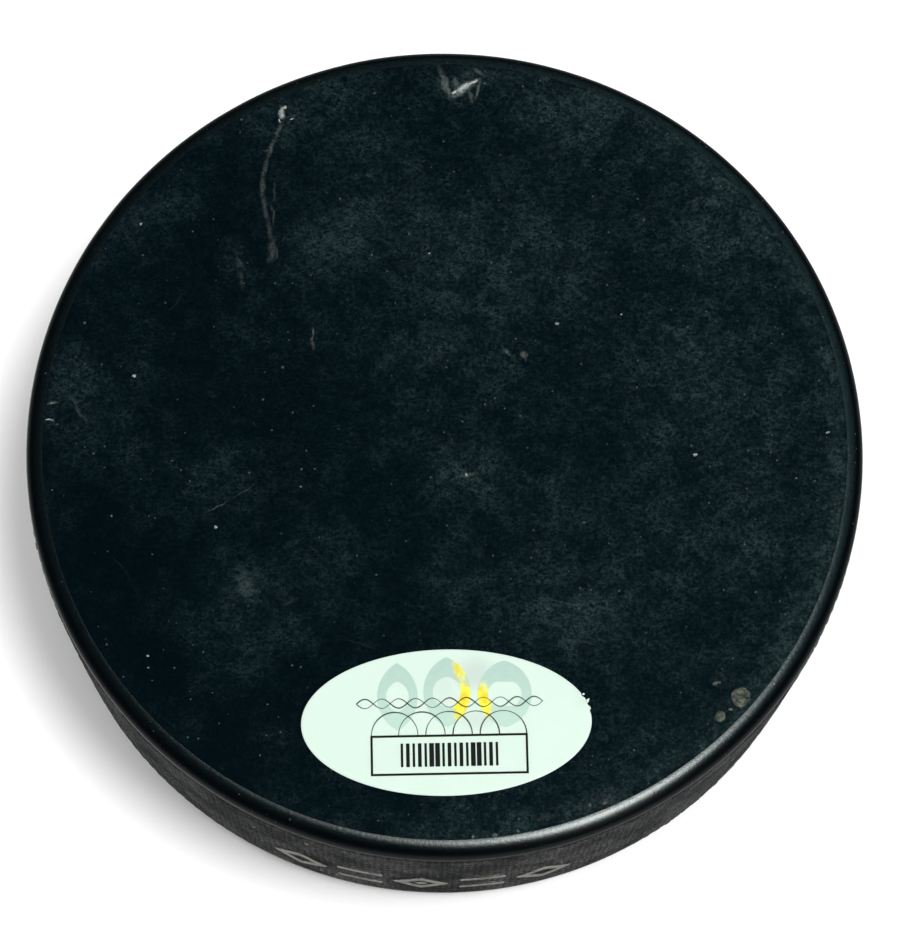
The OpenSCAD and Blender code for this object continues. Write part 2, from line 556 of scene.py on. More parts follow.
# ---------------------------------------------------------------- torn rubber and dried spots
def shard(x, y, long, wide, high, deg, seed, verts, faces, z=None, points=11, sink=0.05, ragged=1.0):
    """A small ragged closed lump that stands on the upper face: foot, shoulder ring and a crest."""
    g = np.random.default_rng(seed)
    z = T if z is None else z
    a = np.arange(points) * 2 * math.pi / points + g.uniform(-0.16, 0.16, points)
    k = 1 + ragged * 0.30 * g.normal(0, 1, points).clip(-1.4, 1.4)
    k += (1 - ragged) * (0.09 * np.sin(2 * a + seed) + 0.06 * np.sin(3 * a + 2 * seed) + 0.03 * np.sin(5 * a))
    c, s = math.cos(math.radians(deg)), math.sin(math.radians(deg))
    rings = []
    for scale, h in ((1.0, -sink), (0.96, 0.006), (0.72, 0.62 * high), (0.34, high)):
        rough = 1 + ragged * g.uniform(-0.4, 0.25, points) if h > 0.01 else np.ones(points)
        u, v = long / 2 * k * scale * np.cos(a), wide / 2 * k * scale * np.sin(a)
        rings.append(len(verts))
        verts.extend(zip(x + u * c - v * s, y + u * s + v * c, z + h * rough))
    top, foot = len(verts), len(verts) + 1
    verts.append((x, y, z + high * 0.9))
    verts.append((x, y, z - sink))
    for lo, hi in zip(rings, rings[1:]):
        for i in range(points):
            j = (i + 1) % points
            faces.append([lo + i, lo + j, hi + j, hi + i])
    for i in range(points):
        j = (i + 1) % points
        faces.append([rings[-1] + i, rings[-1] + j, top])
        faces.append([rings[0] + j, rings[0] + i, foot])


def build_torn(mat):
    """Slivers of torn rubber at the deepest scrapes and crumbs at the brightest specks."""
    verts, faces = [], []
    for k, (x, y, long, wide, high, deg) in enumerate((
            (-0.55, 34.15, 1.5, 0.40, 0.08, 36), (0.25, 34.7, 1.1, 0.34, 0.10, 30), (-1.25, 33.7, 0.8, 0.22, 0.05, 44), (-17.22, 30.45, 1.05, 0.36, 0.12, -84), (-17.0, 31.05, 0.42, 0.3, 0.07, 20),
            (-17.4, 29.7, 0.5, 0.18, 0.05, -70), (-16.2, 29.95, 0.5, 0.12, 0.03, 25), (22.65, 0.0, 0.40, 0.26, 0.07, 15), (-28.65, 4.0, 0.36, 0.28, 0.07, 60),
            (-20.1, -9.6, 0.30, 0.22, 0.05, 10), (-29.35, 18.65, 0.30, 0.18, 0.05, 20), (-2.6, 17.6, 0.18, 0.14, 0.03, 0),
            (34.6, 2.9, 0.50, 0.16, 0.05, 30), (-36.05, -0.6, 0.6, 0.14, 0.04, 5), (-25.15, -21.75, 0.22, 0.18, 0.03, 0), (15.35, 12.9, 0.18, 0.15, 0.03, 0))):
        shard(x, y, long, wide, high, deg, 100 + k, verts, faces, z=T - 0.012)
    return mesh_object("rubber_torn_bits", verts, faces, [mat])


def build_residue(mat):
    """Two flat dried spots near the right of the label and one by the shoulder."""
    verts, faces = [], []
    for k, (x, y, long, wide, high, deg) in enumerate(((27.65, -22.05, 2.1, 1.65, 0.05, 60), (25.85, -23.9, 1.15, 0.95, 0.04, 30), (25.3, -20.95, 0.62, 0.34, 0.04, 20),
                                                      (26.75, -23.2, 0.42, 0.3, 0.02, 0))):
        shard(x, y, long, wide, high, deg, 300 + k, verts, faces, z=T - 0.012, points=28, ragged=0.12)
    return mesh_object("dried_spots", verts, faces, [mat])


# ---------------------------------------------------------------- label
def on_label(u, v):
    c, s = math.cos(TILT), math.sin(TILT)
    return LABEL[0] + u * c - v * s, LABEL[1] + u * s + v * c


def prism(loops, z0, z1, verts, faces):
    """A closed flat solid from an outer loop (counter-clockwise) and holes (clockwise), in the label's axes."""
    flat = [p for loop in loops for p in loop]
    b0 = len(verts)
    xy = [on_label(*p) for p in flat]
    verts.extend((x, y, z0) for x, y in xy)
    b1 = len(verts)
    verts.extend((x, y, z1) for x, y in xy)
    for t in tessellate_polygon([[Vector((p[0], p[1], 0)) for p in loop] for loop in loops]):
        a, b, c = (flat[i] for i in t)
        if (b[0] - a[0]) * (c[1] - a[1]) - (b[1] - a[1]) * (c[0] - a[0]) < 0:
            t = t[::-1]
        faces.append([b1 + i for i in t])
        faces.append([b0 + i for i in t[::-1]])
    k = 0
    for loop in loops:
        n = len(loop)
        for i in range(n):
            j = (i + 1) % n
            faces.append([b0 + k + i, b0 + k + j, b1 + k + j, b1 + k + i])
        k += n


def stroke(path, width, z0, z1, verts, faces):
    """A thin flat ribbon along a path in the label's axes; width is a number or one per point."""
    p = np.array(path, float)
    d = np.gradient(p, axis=0)
    d /= np.linalg.norm(d, axis=1)[:, None]
    nrm = np.stack([-d[:, 1], d[:, 0]], 1)
    w = np.broadcast_to(width, len(p))[:, None] / 2
    left, right = p + nrm * w, p - nrm * w
    prism([[tuple(q) for q in right] + [tuple(q) for q in left[::-1]]], z0, z1, verts, faces)


def leaf_outline(w, h, n=28):
    r = (w * w + h * h) / (4 * w)
    t0 = math.asin(min(1, h / 2 / r))
    side = [(w / 2 - r + r * math.cos(t), r * math.sin(t)) for t in np.linspace(-t0, t0, n)]
    return side[:-1] + [(-x, -y) for x, y in side][:-1]


def build_film(mat):
    n = 360
    a0, b0 = 25.7 / 2, 13.1 / 2
    ang = np.arange(n) * 2 * math.pi / n
    deg = np.degrees(ang)
    # a scuffed, slightly torn stretch at the right end of the oval
    g = np.random.default_rng(3)
    torn = np.exp(-(((deg - 14) / 7) ** 2))
    ragged = np.convolve(np.tile(g.normal(0, 1, n), 3), np.ones(3) / 3, "same")[n:2 * n]
    grow = 0.0006 * np.convolve(np.tile(g.normal(0, 1, n), 3), np.ones(9) / 9, "same")[n:2 * n] + 0.010 * torn * ragged
    nick = -0.012 * np.exp(-(((deg - 19.5) / 1.3) ** 2)) - 0.008 * np.exp(-(((deg - 9) / 1.0) ** 2))
    lift = 0.16 * torn + 0.03 * np.exp(-(((deg - 188) / 16) ** 2)) + 0.02 * np.exp(-(((deg - 262) / 12) ** 2))
    verts, faces = [], []
    rings = []
    levels = [0.06, 0.16, 0.28, 0.40, 0.52, 0.64, 0.74, 0.83, 0.90, 0.945, 0.97, 0.988, 0.9965, 1.0]
    t_film = FACE_Z - FILM_Z
    for side, zs in (("top", FACE_Z), ("bottom", FILM_Z)):
        for t in (levels if side == "top" else levels[::-1]):
            e = np.clip((t - 0.9) / 0.1, 0, 1) ** 2
            k = t * (1 + (grow + nick) * np.clip((t - 0.9) / 0.1, 0, 1))
            z = zs + lift * e
            if side == "top" and t > 0.99:
                z = z - (0.012 if t < 1 else 0.045)
            x, y = on_label(a0 * k * np.cos(ang), b0 * k * np.sin(ang))
            rings.append(len(verts))
            verts.extend(zip(x, y, np.broadcast_to(z, n)))
    for lo, hi in zip(rings, rings[1:]):
        for i in range(n):
            j = (i + 1) % n
            faces.append([lo + j, lo + i, hi + i, hi + j])
    cx, cy = on_label(0, 0)
    verts += [(cx, cy, FACE_Z), (cx, cy, FILM_Z)]
    top, bottom = len(verts) - 2, len(verts) - 1
    for i in range(n):
        j = (i + 1) % n
        faces.append([rings[0] + i, rings[0] + j, top])
        faces.append([rings[-1] + j, rings[-1] + i, bottom])
    return mesh_object("label_film_oval", verts, faces, [mat])


def build_chips(mat):
    """Flakes of film that have come away at the scuffed right end of the label."""
    verts, faces = [], []
    for k, (x, y, long, wide, high, deg) in enumerate(((14.02, -23.25, 0.50, 0.24, 0.05, 62), (14.28, -23.90, 0.36, 0.20, 0.04, 80), (13.66, -22.66, 0.28, 0.16, 0.04, 40))):
        shard(x, y, long, wide, high, deg, 400 + k, verts, faces, z=T + 0.01, points=9)
    return mesh_object("label_film_flakes", verts, faces, [mat], smooth=False)


def build_foil(mat):
    verts, faces = [], []
    for (cu, cv), (w, h, s) in (((-4.3, 2.35), (3.6, 6.1, 0.8)), ((0.1, 2.7), (4.2, 6.3, 0.85)), ((5.2, 2.45), (4.8, 6.0, 0.9))):
        outer = [(x + cu, y + cv) for x, y in leaf_outline(w, h)]
        inner = [(x + cu, y + cv) for x, y in leaf_outline(w - 2 * s, h - 4.2 * s, 20)][::-1]
        prism([outer, inner], FACE_Z, FACE_Z + 0.02, verts, faces)
    return mesh_object("label_foil_leaves", verts, faces, [mat], smooth=False)


PANEL = (0.2, -2.9, 13.9, 3.6)


def build_print(black, grey):
    z0, z1 = FACE_Z - 0.01, FACE_Z + 0.036
    verts, faces = [], []
    cu, cv, w, h = PANEL
    line = 0.20

    def box(x0, y0, x1, y1):
        return [(x0, y0), (x1, y0), (x1, y1), (x0, y1)]

    outer = rounded(box(cu - w / 2, cv - h / 2, cu + w / 2, cv + h / 2), 0.05, 3)
    inner = rounded(box(cu - w / 2 + line, cv - h / 2 + line, cu + w / 2 - line, cv + h / 2 - line), 0.03, 3)[::-1]
    prism([outer, inner], z0, z1, verts, faces)
    n = 17
    pitch = 8.9 / n
    for i in range(n):
        bw = pitch * (0.42 + 0.19 * ((i * i + 3 * i) % 7 % 3))
        x = cu + (i - (n - 1) / 2) * pitch
        prism([rounded(box(x - bw / 2, cv - 1.05, x + bw / 2, cv + 1.05), 0.04, 2)], z0, z1, verts, faces)
    panel = mesh_object("label_print_panel", verts, faces, [black], smooth=False)

    verts, faces = [], []
    top = cv + h / 2
    for i in range(-2, 3):
        t = np.linspace(0, math.pi, 49)
        path = np.stack([cu + i * 2.4 + 2.05 * np.cos(t), top + 2.05 * np.sin(t)], 1)
        stroke(path, 0.095 + 0.03 * np.sin(t * 2 + i), z0, z1 - 0.004, verts, faces)
    u = np.linspace(-8.25, 8.25, 331)
    for sign in (1, -1):
        v = 1.75 + sign * 0.42 * np.sin(math.pi * u / 1.5 + math.pi / 2)
        stroke(np.stack([0.3 + u, v], 1), 0.085 + 0.03 * np.sin(u * 1.3 + sign), z0, z1 - 0.006, verts, faces)
    lines = mesh_object("label_print_lines", verts, faces, [grey], smooth=False)
    return panel, lines


# ---------------------------------------------------------------- floor, light
def make_stage():
    s = 3.0
    n = 24
    xs = np.linspace(-s, s, n + 1)
    verts = [(x / MM, y / MM, 0.0) for y in xs for x in xs]
    faces = [[j * (n + 1) + i, j * (n + 1) + i + 1, (j + 1) * (n + 1) + i + 1, (j + 1) * (n + 1) + i] for j in range(n) for i in range(n)]
    mat, nn, bsdf = material("floor_paper")
    p = nn.mm()
    grain = nn.noise(p, 0.8, 3)
    nn.put(bsdf.inputs["Base Color"], nn.col(grain, (0.91, 0.91, 0.91), (0.93, 0.93, 0.93)))
    bsdf.inputs["Roughness"].default_value = 1.0
    bsdf.inputs["Specular IOR Level"].default_value = 0.0
    floor = mesh_object("floor", verts, faces, [mat], smooth=False, closed=False)
    floor.visible_glossy = False


def make_world():
    world = bpy.data.worlds.new("studio")
    bpy.context.scene.world = world
    world.use_nodes = True
    n = Nodes(world.node_tree)
    out = n.add("ShaderNodeOutputWorld")
    d = n.add("ShaderNodeTexCoord").outputs["Generated"]
    x, y, z = n.xyz(d)
    rays = n.add("ShaderNodeLightPath")
    # the overhead softbox as reflections see it: a soft oval, long towards the front
    az, ca, cb = math.radians(SOFTBOX_AZ), SOFTBOX_AT[0], SOFTBOX_AT[1]
    a = n.m("ADD", n.m("MULTIPLY", x, math.cos(az)), n.m("MULTIPLY", y, math.sin(az)))
    b = n.m("ADD", n.m("MULTIPLY", x, -math.sin(az)), n.m("MULTIPLY", y, math.cos(az)))
    u = n.m("DIVIDE", n.m("SUBTRACT", a, ca), SOFTBOX_SIZE[0])
    v = n.m("DIVIDE", n.m("SUBTRACT", b, cb), SOFTBOX_SIZE[1])
    q = n.m("ADD", n.m("MULTIPLY", u, u), n.m("MULTIPLY", v, v))
    lobe = n.m("MULTIPLY", n.m("EXPONENT", n.m("MULTIPLY", q, -0.693)), SOFTBOX)
    tail = n.m("MULTIPLY", n.m("EXPONENT", n.m("MULTIPLY", q, -0.16)), SOFTBOX * 0.016)
    up = n.step(z, 0.0, 0.12)
    upper = n.m("MULTIPLY", n.m("ADD", n.m("ADD", lobe, tail), CEILING), up)
    # what the rim reflects of the table: dark far off, lighter close by
    near = n.m("MULTIPLY", n.step(z, -0.02, -0.62, 0.02, TABLE), n.step(z, -0.70, -0.99, 1.0, 0.45))
    side = n.m("ADD", n.m("MULTIPLY", y, 0.50), n.m("MULTIPLY", x, -0.12))
    lower = n.m("MULTIPLY", n.m("MAXIMUM", n.m("ADD", near, n.m("MULTIPLY", n.m("ADD", side, 0.26), n.step(z, -0.6, -0.95))), 0.0), n.m("SUBTRACT", 1.0, up))
    b_gloss = n.add("ShaderNodeBackground")
    n.put(b_gloss.inputs["Strength"], n.m("ADD", upper, lower))
    b_gloss.inputs["Color"].default_value = (0.93, 1.0, 0.97, 1)
    b_soft = n.add("ShaderNodeBackground")
    b_soft.inputs["Color"].default_value = (1.0, 1.0, 1.0, 1)
    b_soft.inputs["Strength"].default_value = AMBIENT
    b_seen = n.add("ShaderNodeBackground")
    b_seen.inputs["Color"].default_value = (0.90, 0.91, 0.92, 1)
    b_seen.inputs["Strength"].default_value = 1.0
    m1, m2 = n.add("ShaderNodeMixShader"), n.add("ShaderNodeMixShader")
    n.put(m1.inputs[0], rays.outputs["Is Glossy Ray"])
    n.t.links.new(b_soft.outputs[0], m1.inputs[1])
    n.t.links.new(b_gloss.outputs[0], m1.inputs[2])
    n.put(m2.inputs[0], rays.outputs["Is Camera Ray"])
    n.t.links.new(m1.outputs[0], m2.inputs[1])
    n.t.links.new(b_seen.outputs[0], m2.inputs[2])
    n.t.links.new(m2.outputs[0], out.inputs[0])


SOFTBOX, SOFTBOX_AZ, SOFTBOX_AT, SOFTBOX_SIZE = 26.0, -65.0, (0.33, 0.115), (0.215, 0.095)
CEILING = 0.01
TABLE = 0.19
AMBIENT = 0.80
KEY = 0.64                 # the key light's share of the floor's brightness


def make_key():
    data = bpy.data.lights.new("key", "AREA")
    data.shape = "DISK"
    dist, size = 2.6, 0.64
    az, el = math.radians(-10), math.radians(75.2)
    data.size = size
    d = Vector((math.cos(el) * math.cos(az), math.cos(el) * math.sin(az), math.sin(el)))
    # irradiance of a small disc at this distance, in units of a white floor at 1.0
    data.energy = KEY * math.pi * math.pi * dist * dist / math.sin(el)
    o = bpy.data.objects.new("key", data)
    bpy.context.scene.collection.objects.link(o)
    o.location = d * dist
    o.rotation_mode = "QUATERNION"
    o.rotation_quaternion = d.to_track_quat("Z", "Y")
    o.visible_glossy = False
    o.visible_camera = False


# ---------------------------------------------------------------- rubber materials
# strokes on the upper face in mm: x0, y0, x1, y1, width, strength
STROKES = [
    # gouge near the far edge, in the shape of a tick
    (-2.75, 36.0, -1.95, 33.3, 0.42, 0.42), (-2.35, 35.6, -1.55, 32.7, 0.30, 0.45), (-1.75, 33.0, 0.9, 35.1, 0.50, 0.60),
    (-1.2, 33.6, 0.35, 34.7, 0.55, 0.95), (-0.4, 34.3, 1.2, 35.3, 0.26, 0.50), (1.05, 35.1, 0.7, 32.9, 0.26, 0.42), (0.2, 36.2, 1.4, 35.6, 0.34, 0.32), (0.1, 34.0, 0.5, 32.6, 0.24, 0.34), (-1.5, 35.2, -0.6, 33.6, 0.5, 0.34),
    # bright nick with a long double scratch curving down from it
    (-17.28, 30.95, -17.15, 29.9, 0.42, 1.0), (-17.1, 29.8, -15.6, 30.5, 0.16, 0.22), (-16.8, 29.3, -16.3, 29.7, 0.14, 0.22),
    (-17.0, 29.9, -17.75, 27.6, 0.32, 0.28), (-17.6, 28.1, -18.3, 25.6, 0.36, 0.30), (-18.2, 26.2, -18.55, 23.6, 0.36, 0.28),
    (-18.5, 24.4, -18.35, 21.8, 0.38, 0.31), (-18.4, 22.6, -17.7, 19.4, 0.36, 0.26), (-17.8, 20.2, -17.0, 17.2, 0.34, 0.22),
    (-17.1, 18.2, -17.1, 15.6, 0.55, 0.27), (-16.7, 17.4, -16.6, 16.0, 0.20, 0.24), (-17.4, 24.2, -17.3, 21.3, 0.15, 0.21), (-17.45, 22.0, -17.1, 18.8, 0.15, 0.22),
    (-18.8, 26.6, -17.9, 26.7, 0.14, 0.25),
    # single ticks
    (-19.8, 14.9, -19.5, 12.8, 0.34, 0.16), (-20.2, 16.0, -19.7, 15.2, 0.30, 0.20), (-12.75, 9.9, -12.7, 8.2, 0.19, 0.42), (-12.8, 8.9, -12.65, 7.6, 0.24, 0.30),
    (4.95, 8.8, 5.3, 8.4, 0.40, 0.30), (6.4, 8.6, 6.85, 8.2, 0.42, 0.42), (6.75, 8.2, 6.95, 7.7, 0.18, 0.24),
    (-21.25, -8.5, -18.9, -6.9, 0.13, 0.28), (-19.1, -7.1, -16.75, -5.25, 0.12, 0.24), (-34.9, 2.6, -31.9, -1.5, 0.20, 0.20), (-34.0, 0.9, -32.7, -0.4, 0.20, 0.24),
    (-36.2, 0.9, -35.4, 1.0, 0.22, 0.50), (-36.05, -0.6, -35.5, -0.65, 0.20, 0.55),
    (-17.6, -15.6, -16.4, -14.3, 0.95, 0.17), (-13.7, -16.5, -12.2, -15.6, 0.30, 0.16),
    (14.2, -32.8, 17.6, -31.4, 1.5, 0.10), (15.4, -32.4, 16.6, -31.8, 0.5, 0.20), (9.8, -34.2, 11.8, -33.5, 0.4, 0.14),
    (20.5, 23.9, 22.6, 25.0, 0.20, 0.15), (22.3, 20.0, 22.6, 18.7, 0.24, 0.17), (3.1, -3.0, 1.4, -3.5, 0.30, 0.30),
    # faint long hairlines
    (-6.0, 15.9, -1.2, 18.0, 0.10, 0.12), (10.5, 15.0, 16.5, 16.6, 0.10, 0.12), (8.0, -14.2, 16.2, -14.9, 0.12, 0.14), (9.0, -16.1, 15.4, -15.5, 0.12, 0.12),
    (10.4, -17.7, 16.0, -18.3, 0.12, 0.14), (24.0, -6.0, 29.5, -2.0, 0.10, 0.10), (-9.5, -18.5, -4.0, -20.2, 0.10, 0.10), (-27.0, 9.0, -24.0, 13.4, 0.10, 0.10),
    (26.0, 8.0, 31.0, 12.5, 0.10, 0.10), (-4.5, 5.5, 0.5, 8.9, 0.10, 0.10), (14.5, 3.0, 18.2, -1.5, 0.10, 0.10), (-30.0, -12.0, -26.4, -15.8, 0.10, 0.10),
]
# soft hazy patches on the upper face: x, y, half length, half width, turn in degrees, strength
PATCHES = [
    (-10.8, 18.9, 4.6, 3.0, 28, 0.62), (2.0, -3.4, 4.2, 3.8, 0, 0.55), (8.0, 31.4, 4.6, 2.2, -15, 0.50), (21.0, 9.5, 6.0, 4.5, 30, 0.35),
    (12.0, -16.2, 5.2, 2.8, -4, 0.42), (-0.6, 34.4, 3.2, 2.0, 30, 0.45), (24.0, 22.0, 8.0, 5.0, -45, 0.30), (-33.8, 3.6, 2.4, 3.4, 20, 0.42),
    (15.6, -32.3, 3.2, 1.2, 22, 0.42), (-20.5, 15.5, 1.6, 2.4, 10, 0.42), (-17.0, -15.0, 1.8, 1.8, 0, 0.50), (-22.0, -6.5, 6.0, 3.6, 30, 0.20),
    (28.5, -6.0, 3.6, 7.0, 10, 0.25), (-6.0, 8.0, 7.0, 4.0, 0, 0.16), (3.5, 19.5, 7.0, 4.5, 10, 0.26), (-27.0, 20.0, 5.0, 3.0, 50, 0.25),
]
# small bright dots: x, y, radius, strength
DOTS = [
    (9.5, 11.6, 0.24, 0.75), (15.35, 12.9, 0.13, 0.7), (-2.6, 17.6, 0.12, 0.9), (22.65, 0.0, 0.20, 0.95), (34.6, 2.9, 0.16, 0.7), (31.9, -1.6, 0.13, 0.6),
    (-29.35, 18.65, 0.17, 0.9), (-28.65, 4.0, 0.20, 1.0), (2.1, -3.25, 0.20, 0.95), (-12.75, -5.35, 0.14, 0.6), (-20.1, -9.6, 0.19, 1.0),
    (-25.15, -21.75, 0.16, 0.7), (-25.0, -22.8, 0.13, 0.6), (25.35, -21.0, 0.15, 0.7), (-7.9, 17.1, 0.12, 0.6), (-4.6, 19.4, 0.14, 0.4), (-11.2, 22.4, 0.13, 0.45),
    (17.0, 22.2, 0.16, 0.35), (11.9, 7.9, 0.12, 0.5), (5.8, 9.9, 0.10, 0.45), (-29.5, -9.2, 0.14, 0.55), (0.0, 21.5, 0.11, 0.3), (28.6, -12.4, 0.14, 0.4), (-9.0, -27.8, 0.12, 0.4),
    (18.4, -27.4, 0.14, 0.4), (-14.5, -30.0, 0.12, 0.4), (30.2, 12.0, 0.13, 0.4),
    (4.65, -35.99, 0.22, 0.4), (6.56, -35.69, 0.28, 0.45), (8.55, -35.21, 0.20, 0.4), (16.04, -32.25, 0.24, 0.4), (14.73, -32.51, 0.2, 0.35),
]


def oval(n, p, x, y, long, wide, turn, strength, hard=0.35):
    """A soft-edged oval spot of the given strength."""
    q = n.place(p, loc=(x, y, 0), rot=(0, 0, turn), scale=(long, wide, 1e6))
    return n.step(n.v("LENGTH", q), 1.0, hard, 0.0, strength)


def stamp(n, x, y, before, px, py, long, wide, turn, strength, hard=0.35):
    """Adds one oval spot to what came before; the chain through z keeps the nodes in order."""
    return n.m("MAXIMUM", before, oval(n, n.join(x, y, before), px, py, long, wide, turn, strength, hard))


def sprinkle(n, p, scale, radius, keep, strength, dims="3D"):
    """Random small dots, one to a cell at most; keep is the share of cells that have one."""
    d, c = n.cells(p, scale, dims=dims)
    r, g, b = n.xyz(c)
    size = n.m("MULTIPLY", n.m("ADD", n.m("MULTIPLY", g, 0.9), 0.45), radius * scale)
    dot = n.step(n.m("DIVIDE", d, size), 1.0, 0.45)
    return n.m("MULTIPLY", dot, n.m("MULTIPLY", n.m("GREATER_THAN", r, 1 - keep), n.m("MULTIPLY", n.m("ADD", b, 0.25), strength)))


def face_part(x, y, reach):
    """Which part of the upper face a polygon belongs to: 0 has no stroke or dot near it, 1 to 7 have their own lists."""
    for (x0, y0, x1, y1, w, st) in STROKES:
        t = ((x - x0) * (x1 - x0) + (y - y0) * (y1 - y0)) / ((x1 - x0) ** 2 + (y1 - y0) ** 2)
        t = min(max(t, 0.0), 1.0)
        if math.hypot(x - x0 - t * (x1 - x0), y - y0 - t * (y1 - y0)) < reach + w + 0.55:
            return sector(x, y)
    for (px, py, rad, st) in DOTS:
        if math.hypot(x - px, y - py) < reach + rad * 1.3 + 0.35:
            return sector(x, y)
    return 0


def sector(x, y):
    if math.hypot(x, y) < 13.5:
        return 1
    return 2 + int((math.atan2(y, x) + math.pi) / (2 * math.pi) * 6) % 6


def near_part(part, x0, y0, x1, y1, w):
    """Whether a stroke reaches a part of the face, with room to spare."""
    k = max(2, int(math.hypot(x1 - x0, y1 - y0) / 0.5) + 1)
    m = w + 1.6
    for i in range(k + 1):
        x, y = x0 + (x1 - x0) * i / k, y0 + (y1 - y0) * i / k
        for dx in (-m, 0, m):
            for dy in (-m, 0, m):
                if sector(x + dx, y + dy) == part:
                    return True
    return False


def threads(n, p, scale, turn, stretch, width, seed):
    """Thin curled filaments: the lines along which a stretched noise crosses its middle value."""
    q = n.place(p, loc=(seed * 5.3, seed * -3.7, seed * 2.0), rot=(0, 0, math.radians(turn)), scale=(stretch, 1.0 / stretch, 1.0))
    f = n.noise(q, scale, detail=2.0, rough=0.55, distort=0.35)
    return n.step(n.m("ABSOLUTE", n.m("SUBTRACT", f, 0.5)), width, width * 0.15)


def face_material(name, part, seed):
    """The rubber of a flat face; part is None for the lower face."""
    mat, n, b = material(name)
    p = n.mm()
    x, y, z = n.xyz(p)
    flat = n.join(x, y, seed * 9.0)
    cloud = n.noise(flat, 0.085, 3, 0.6)
    cluster = n.noise(flat, 0.50, 4, 0.75)
    grit = n.noise(flat, 3.4, 2, 0.75)
    # haze that has settled in patches, plus painted sheen that makes the face lighter towards the right
    painted_sheen_right = n.step(n.m("ADD", n.m("MULTIPLY", x, 0.90), n.m("MULTIPLY", y, 0.36)), -36.0, 26.0)
    haze_and_sheen = n.m("ADD", n.m("MULTIPLY", painted_sheen_right, 0.26), n.step(cloud, 0.42, 0.66, 0.0, 0.26))
    if part is not None:
        spots = 0.0
        for (px, py, a, w, deg, st) in PATCHES:
            spots = stamp(n, x, y, spots, px, py, a * 1.45, w * 1.45, math.radians(deg), st, 0.0)
        haze_and_sheen = n.m("ADD", haze_and_sheen, spots)
    haze_and_sheen = n.m("ADD", n.m("MULTIPLY", haze_and_sheen, n.step(cluster, 0.32, 0.70, 0.55, 1.45)), 0.03)
    grain = n.step(grit, 0.42, 0.74)
    fuzz = n.most([threads(n, flat, 1.25, 12, 1.6, 0.027, seed), threads(n, flat, 1.6, 78, 1.35, 0.024, seed + 1),
                   threads(n, flat, 0.95, -20, 2.0, 0.020, seed + 2)])
    fuzz = n.m("MULTIPLY", fuzz, n.step(cluster, 0.40, 0.62, 0.35, 1.0))
    dust_and_sheen = n.m("MULTIPLY", haze_and_sheen, n.m("ADD", n.m("ADD", n.m("MULTIPLY", grain, 0.85), n.m("MULTIPLY", fuzz, 1.05)), 0.10))
    if part is not None:
        # rubbed patches: fine parallel strokes
        rub = n.place(flat, rot=(0, 0, math.radians(20)), scale=(1.9, 0.15, 1.0))
        rubbed = n.m("MULTIPLY", n.step(n.noise(rub, 1.0, 2, 0.65), 0.47, 0.72), oval(n, flat_at(n, x, y), -11.2, 18.4, 6.0, 3.6, math.radians(22), 0.62, 0.0))
        rub = n.place(flat, rot=(0, 0, math.radians(-3)), scale=(2.2, 0.15, 1.0))
        rubbed2 = n.m("MULTIPLY", n.step(n.noise(rub, 1.0, 2, 0.65), 0.48, 0.74), oval(n, flat_at(n, x, y), 12.2, -16.2, 7.5, 3.8, 0.0, 0.45, 0.0))
        dust_and_sheen = n.m("ADD", dust_and_sheen, n.m("ADD", rubbed, rubbed2))
    # pale ring inside the rim of the face, strongest on the right: partly wear, partly painted highlight where the
    # bend begins
    r = n.v("LENGTH", flat_at(n, x, y))
    ring = n.m("MULTIPLY", n.step(r, 33.4, 35.8), n.step(r, 36.7, 36.2))
    turn = n.step(x, -12.0, 30.0, 0.08, 1.0)
    ring = n.m("MULTIPLY", n.m("MULTIPLY", ring, turn), n.step(cluster, 0.36, 0.66, 0.25, 1.3))
    dust_and_sheen = n.m("ADD", dust_and_sheen, n.m("MULTIPLY", ring, n.m("ADD", n.m("MULTIPLY", grain, 0.45), 0.16)))
    # base colour: dust and haze, plus the painted sheen on the right and the painted highlight of the rim ring
    base = n.col(dust_and_sheen, (0.0, 0.0024, 0.0039), (0.0165, 0.0295, 0.0305))
    marks = n.m("ADD", sprinkle(n, flat, 0.34, 0.13, 0.60, 0.45), sprinkle(n, flat, 1.15, 0.10, 0.45, 0.24))
    if part:
        # strokes and dots wander a little off their straight lines
        warp = n.add("ShaderNodeTexNoise", noise_dimensions="3D")
        n.put(warp.inputs["Vector"], flat)
        warp.inputs["Scale"].default_value = 1.1
        warp.inputs["Detail"].default_value = 2.0
        wx, wy, wz = n.xyz(warp.outputs["Color"])
        bx = n.m("ADD", x, n.m("MULTIPLY", n.m("SUBTRACT", wx, 0.5), 0.55))
        by = n.m("ADD", y, n.m("MULTIPLY", n.m("SUBTRACT", wy, 0.5), 0.55))
        line = 0.0
        for (x0, y0, x1, y1, w, st) in STROKES:
            if near_part(part, x0, y0, x1, y1, w):
                line = stamp(n, bx, by, line, (x0 + x1) / 2, (y0 + y1) / 2, math.hypot(x1 - x0, y1 - y0) / 2 + w * 0.7, w * 0.95,
                             math.atan2(y1 - y0, x1 - x0), 1.05 * st ** 1.75, 0.0)
        for (px, py, rad, st) in DOTS:
            if near_part(part, px, py, px + 0.01, py, rad):
                line = stamp(n, x, y, line, px, py, rad * 1.15, rad * 0.80, px, 0.8 * st ** 1.3, 0.25)
        torn = n.step(n.noise(flat, 4.2, 3, 0.75), 0.34, 0.60, 0.20, 1.15)
        marks = n.m("MAXIMUM", marks, n.m("MULTIPLY", line, torn)) if not isinstance(line, float) else marks
    base = n.col(marks, base, (0.30, 0.33, 0.31))
    n.put(b.inputs["Base Color"], base)
    wear = n.m("MINIMUM", n.m("ADD", n.m("MULTIPLY", dust_and_sheen, 0.6), marks), 1.0)
    n.put(b.inputs["Roughness"], n.mix(wear, n.mix(cloud, 0.28, 0.36), 0.62))
    b.inputs["Specular IOR Level"].default_value = 0.010
    n.put(b.inputs["Normal"], n.bump(n.m("MULTIPLY", grit, 0.0020), MM, 1.0))
    return mat


def flat_at(n, x, y):
    return n.join(x, y, 0.0)


